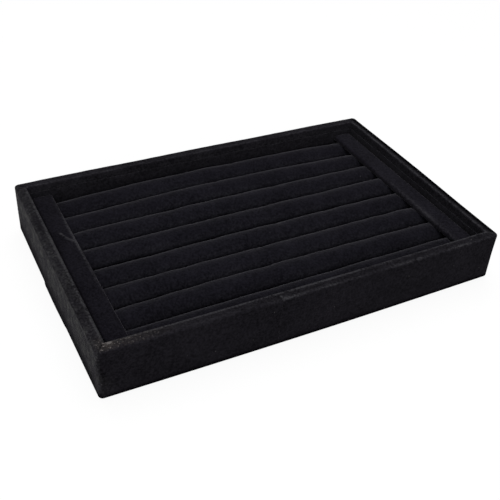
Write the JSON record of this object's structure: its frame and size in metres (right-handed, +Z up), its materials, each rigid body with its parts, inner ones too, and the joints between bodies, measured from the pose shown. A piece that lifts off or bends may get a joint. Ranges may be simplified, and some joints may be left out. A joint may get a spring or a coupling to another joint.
{
  "type": "ring tray",
  "caption": "Shallow rectangular velvet-wrapped tray with a lift-out insert of side-by-side padded velvet rolls, their ends under two flat rails, which hold rings in the slots between them.",
  "frame": {"origin": "middle of the underside, on the surface that the tray stands on", "axes": "+X along the long side to the right, +Y towards the back, +Z up"},
  "size_m": [0.225, 0.1436, 0.03],
  "materials": {
    "velvet": "matte",
    "board": "matte",
    "card": "matte",
    "foam": "matte",
    "backing_paper": "matte"
  },
  "bodies": {
    "tray": {"base_panel": "board", "front_wall_board": "board", "back_wall_board": "board", "left_wall_board": "board", "right_wall_board": "board", "wall_wrap": "velvet", "underside_cover": "backing_paper", "front_lining": "velvet", "back_lining": "velvet", "left_lining": "velvet", "right_lining": "velvet", "floor_lining": "velvet"},
    "ring_insert": {"insert_board": "card", "left_rail_core": "board", "left_rail_cover": "velvet", "right_rail_core": "board", "right_rail_cover": "velvet", "roll_core_1": "foam", "roll_cover_1": "velvet", "roll_core_2": "foam", "roll_cover_2": "velvet", "roll_core_3": "foam", "roll_cover_3": "velvet", "roll_core_4": "foam", "roll_cover_4": "velvet", "roll_core_5": "foam", "roll_cover_5": "velvet", "roll_core_6": "foam", "roll_cover_6": "velvet", "roll_core_7": "foam", "roll_cover_7": "velvet", "roll_core_8": "foam", "roll_cover_8": "velvet"}
  },
  "joints": [
    {"name": "insert_lift", "type": "slide", "parent": "tray", "child": "ring_insert", "axis": [0, 0, 1], "range_m": [0, 0.04]}
  ]
}
